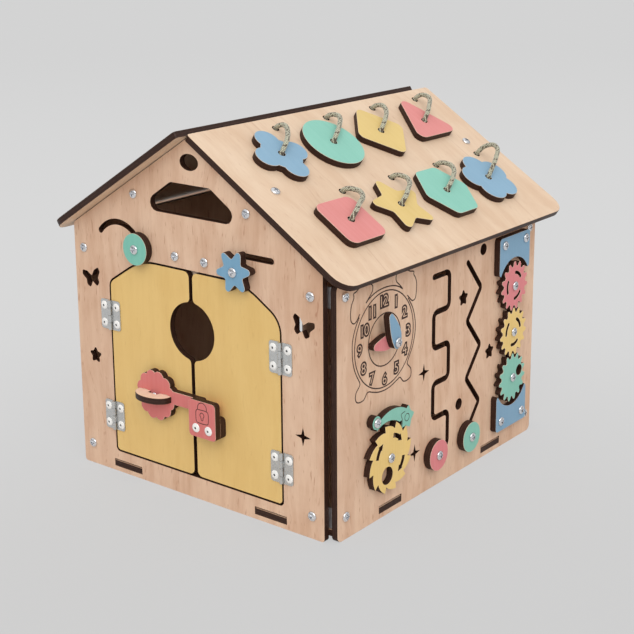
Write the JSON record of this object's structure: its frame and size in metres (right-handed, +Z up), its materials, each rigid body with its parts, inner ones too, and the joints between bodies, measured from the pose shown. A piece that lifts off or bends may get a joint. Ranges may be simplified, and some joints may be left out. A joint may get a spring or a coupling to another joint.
{
  "type": "busy board house",
  "caption": "Wooden busy board shaped as a house, with doors, latch, slide knobs, clock, gears, ratchet and cord-tied roof tiles.",
  "frame": {"origin": "middle of the house's overall box, on the ground", "axes": "+X to the right wall, +Y from the door gable to the back gable, +Z up"},
  "size_m": [0.3654, 0.411, 0.3685],
  "materials": {
    "wall_ply": "clear matt varnish over birch plywood",
    "roof_ply": "clear matt varnish over birch plywood",
    "door_ply": "yellow wood stain",
    "bare_ply": "bare plywood",
    "pink_paint": "matt pink paint on plywood",
    "teal_paint": "matt mint paint on plywood",
    "blue_paint": "matt blue paint on plywood",
    "yellow_paint": "matt yellow paint on plywood",
    "brace_steel": "zinc plated",
    "zinc_bolts": "zinc plated",
    "hinge_steel": "nickel plated",
    "rivets": "white enamel",
    "cord": "braided polyester"
  },
  "bodies": {
    "house": {"front_wall": "wall_ply", "back_wall": "wall_ply", "left_wall": "wall_ply", "right_wall": "wall_ply", "floor_panel": "wall_ply", "roof_left": "roof_ply", "roof_right": "roof_ply", "front_corner_braces": "brace_steel", "back_corner_braces": "brace_steel", "roof_braces": "brace_steel", "wall_screws": "zinc_bolts", "roof_screws": "zinc_bolts", "inner_nuts": "zinc_bolts", "door_stop": "bare_ply", "hinge_frame_leaves": "hinge_steel", "hinge_pins": "hinge_steel", "frame_rivets": "rivets", "clock_bolt": "zinc_bolts", "ratchet_bolts": "zinc_bolts", "gear_bolts": "zinc_bolts", "gear_plates": "blue_paint", "plate_screws": "zinc_bolts", "roof_cords": "cord", "cord_knots": "cord"},
    "left_door": {"left_door": "door_ply", "left_hinge_leaves": "hinge_steel", "left_door_rivets": "rivets", "latch_bolt": "zinc_bolts"},
    "right_door": {"right_door": "door_ply", "right_hinge_leaves": "hinge_steel", "right_door_rivets": "rivets", "lock_plate": "pink_paint", "lock_spacer": "bare_ply", "lock_rivets": "rivets"},
    "latch": {"latch_key": "pink_paint", "latch_handle": "bare_ply"},
    "arc_slider": {"arc_knob_bolt": "zinc_bolts"},
    "arc_knob": {"arc_knob": "teal_paint"},
    "flower_slider": {"flower_knob_bolt": "zinc_bolts"},
    "flower_knob": {"flower_knob": "blue_paint"},
    "hour_hand": {"hour_hand": "pink_paint"},
    "minute_hand": {"minute_hand": "blue_paint"},
    "maze_slider": {"maze_knob_bolt": "zinc_bolts"},
    "maze_knob": {"maze_knob": "pink_paint"},
    "zigzag_slider": {"zigzag_knob_bolt": "zinc_bolts"},
    "zigzag_knob": {"zigzag_knob": "teal_paint"},
    "ratchet_wheel": {"ratchet_wheel": "yellow_paint"},
    "pawl": {"pawl": "teal_paint"},
    "top_gear": {"top_gear": "pink_paint"},
    "middle_gear": {"middle_gear": "yellow_paint"},
    "bottom_gear": {"bottom_gear": "teal_paint"},
    "clover_tile": {"clover_tile": "blue_paint"},
    "round_tile": {"round_tile": "teal_paint"},
    "diamond_tile": {"diamond_tile": "yellow_paint"},
    "triangle_tile": {"triangle_tile": "pink_paint"},
    "square_tile": {"square_tile": "pink_paint"},
    "star_tile": {"star_tile": "yellow_paint"},
    "hexagon_tile": {"hexagon_tile": "teal_paint"},
    "flower_tile": {"flower_tile": "blue_paint"}
  },
  "joints": [
    {"name": "left_door_hinge", "type": "hinge", "parent": "house", "child": "left_door", "pos_m": [-0.11727, -0.1843, 0.115], "axis": [0, 0, -1], "range_deg": [0, 104.9]},
    {"name": "right_door_hinge", "type": "hinge", "parent": "house", "child": "right_door", "pos_m": [0.10473, -0.1843, 0.115], "axis": [0, 0, 1], "range_deg": [0, 104.9]},
    {"name": "latch_turn", "type": "hinge", "parent": "left_door", "child": "latch", "pos_m": [-0.05127, -0.1823, 0.1001], "axis": [0, -1, 0], "range_deg": [0, 95]},
    {"name": "arc_slide", "type": "hinge", "parent": "house", "child": "arc_slider", "pos_m": [-0.10217, -0.1823, 0.2342], "axis": [0, -1, 0], "range_deg": [0, 120.4]},
    {"name": "arc_knob_spin", "type": "hinge", "parent": "arc_slider", "child": "arc_knob", "pos_m": [-0.07155, -0.1823, 0.2451], "axis": [0, -1, 0], "continuous": true},
    {"name": "flower_slide", "type": "slide", "parent": "house", "child": "flower_slider", "axis": [0, 0, 1], "range_m": [0, 0.0108]},
    {"name": "flower_spin", "type": "hinge", "parent": "flower_slider", "child": "flower_knob", "pos_m": [0.05573, -0.1823, 0.2434], "axis": [0, -1, 0], "continuous": true},
    {"name": "hour_hand_turn", "type": "hinge", "parent": "house", "child": "hour_hand", "pos_m": [0.16463, -0.104, 0.178], "axis": [1, 0, 0], "continuous": true},
    {"name": "minute_hand_turn", "type": "hinge", "parent": "house", "child": "minute_hand", "pos_m": [0.16463, -0.104, 0.178], "axis": [1, 0, 0], "continuous": true},
    {"name": "maze_slide", "type": "slide", "parent": "house", "child": "maze_slider", "axis": [0, 1, 0], "range_m": [0, 0.0211]},
    {"name": "maze_knob_spin", "type": "hinge", "parent": "maze_slider", "child": "maze_knob", "pos_m": [0.16463, -0.0222, 0.0367], "axis": [1, 0, 0], "continuous": true},
    {"name": "zigzag_slide", "type": "slide", "parent": "house", "child": "zigzag_slider", "axis": [0, 0.639, 0.7692], "range_m": [0, 0.0365]},
    {"name": "zigzag_knob_spin", "type": "hinge", "parent": "zigzag_slider", "child": "zigzag_knob", "pos_m": [0.16463, 0.0385, 0.0361], "axis": [1, 0, 0], "continuous": true},
    {"name": "ratchet_turn", "type": "hinge", "parent": "house", "child": "ratchet_wheel", "pos_m": [0.16463, -0.104, 0.0618], "axis": [-1, 0, 0], "continuous": true},
    {"name": "pawl_lift", "type": "hinge", "parent": "house", "child": "pawl", "pos_m": [0.16463, -0.1265, 0.104], "axis": [1, 0, 0], "range_deg": [0, 60]},
    {"name": "bottom_gear_turn", "type": "hinge", "parent": "house", "child": "bottom_gear", "pos_m": [0.16463, 0.119, 0.0776], "axis": [1, 0, 0], "continuous": true},
    {"name": "middle_gear_turn", "type": "hinge", "parent": "house", "child": "middle_gear", "pos_m": [0.16463, 0.119, 0.1284], "axis": [1, 0, 0], "continuous": true},
    {"name": "top_gear_turn", "type": "hinge", "parent": "house", "child": "top_gear", "pos_m": [0.16463, 0.119, 0.1792], "axis": [1, 0, 0], "continuous": true},
    {"name": "clover_tile_lift", "type": "slide", "parent": "house", "child": "clover_tile", "axis": [0.5367, 0, 0.8438], "range_m": [0, 0.02], "deforming": ["roof_cords"]},
    {"name": "round_tile_lift", "type": "slide", "parent": "house", "child": "round_tile", "axis": [0.5367, 0, 0.8438], "range_m": [0, 0.02], "deforming": ["roof_cords"]},
    {"name": "diamond_tile_lift", "type": "slide", "parent": "house", "child": "diamond_tile", "axis": [0.5367, 0, 0.8438], "range_m": [0, 0.02], "deforming": ["roof_cords"]},
    {"name": "triangle_tile_lift", "type": "slide", "parent": "house", "child": "triangle_tile", "axis": [0.5367, 0, 0.8438], "range_m": [0, 0.02], "deforming": ["roof_cords"]},
    {"name": "square_tile_lift", "type": "slide", "parent": "house", "child": "square_tile", "axis": [0.5367, 0, 0.8438], "range_m": [0, 0.02], "deforming": ["roof_cords"]},
    {"name": "star_tile_lift", "type": "slide", "parent": "house", "child": "star_tile", "axis": [0.5367, 0, 0.8438], "range_m": [0, 0.02], "deforming": ["roof_cords"]},
    {"name": "hexagon_tile_lift", "type": "slide", "parent": "house", "child": "hexagon_tile", "axis": [0.5367, 0, 0.8438], "range_m": [0, 0.02], "deforming": ["roof_cords"]},
    {"name": "flower_tile_lift", "type": "slide", "parent": "house", "child": "flower_tile", "axis": [0.5367, 0, 0.8438], "range_m": [0, 0.02], "deforming": ["roof_cords"]}
  ],
  "couplings": [
    {"joint": "middle_gear_turn", "follows": "bottom_gear_turn", "ratio": -1},
    {"joint": "top_gear_turn", "follows": "bottom_gear_turn", "ratio": 1}
  ]
}
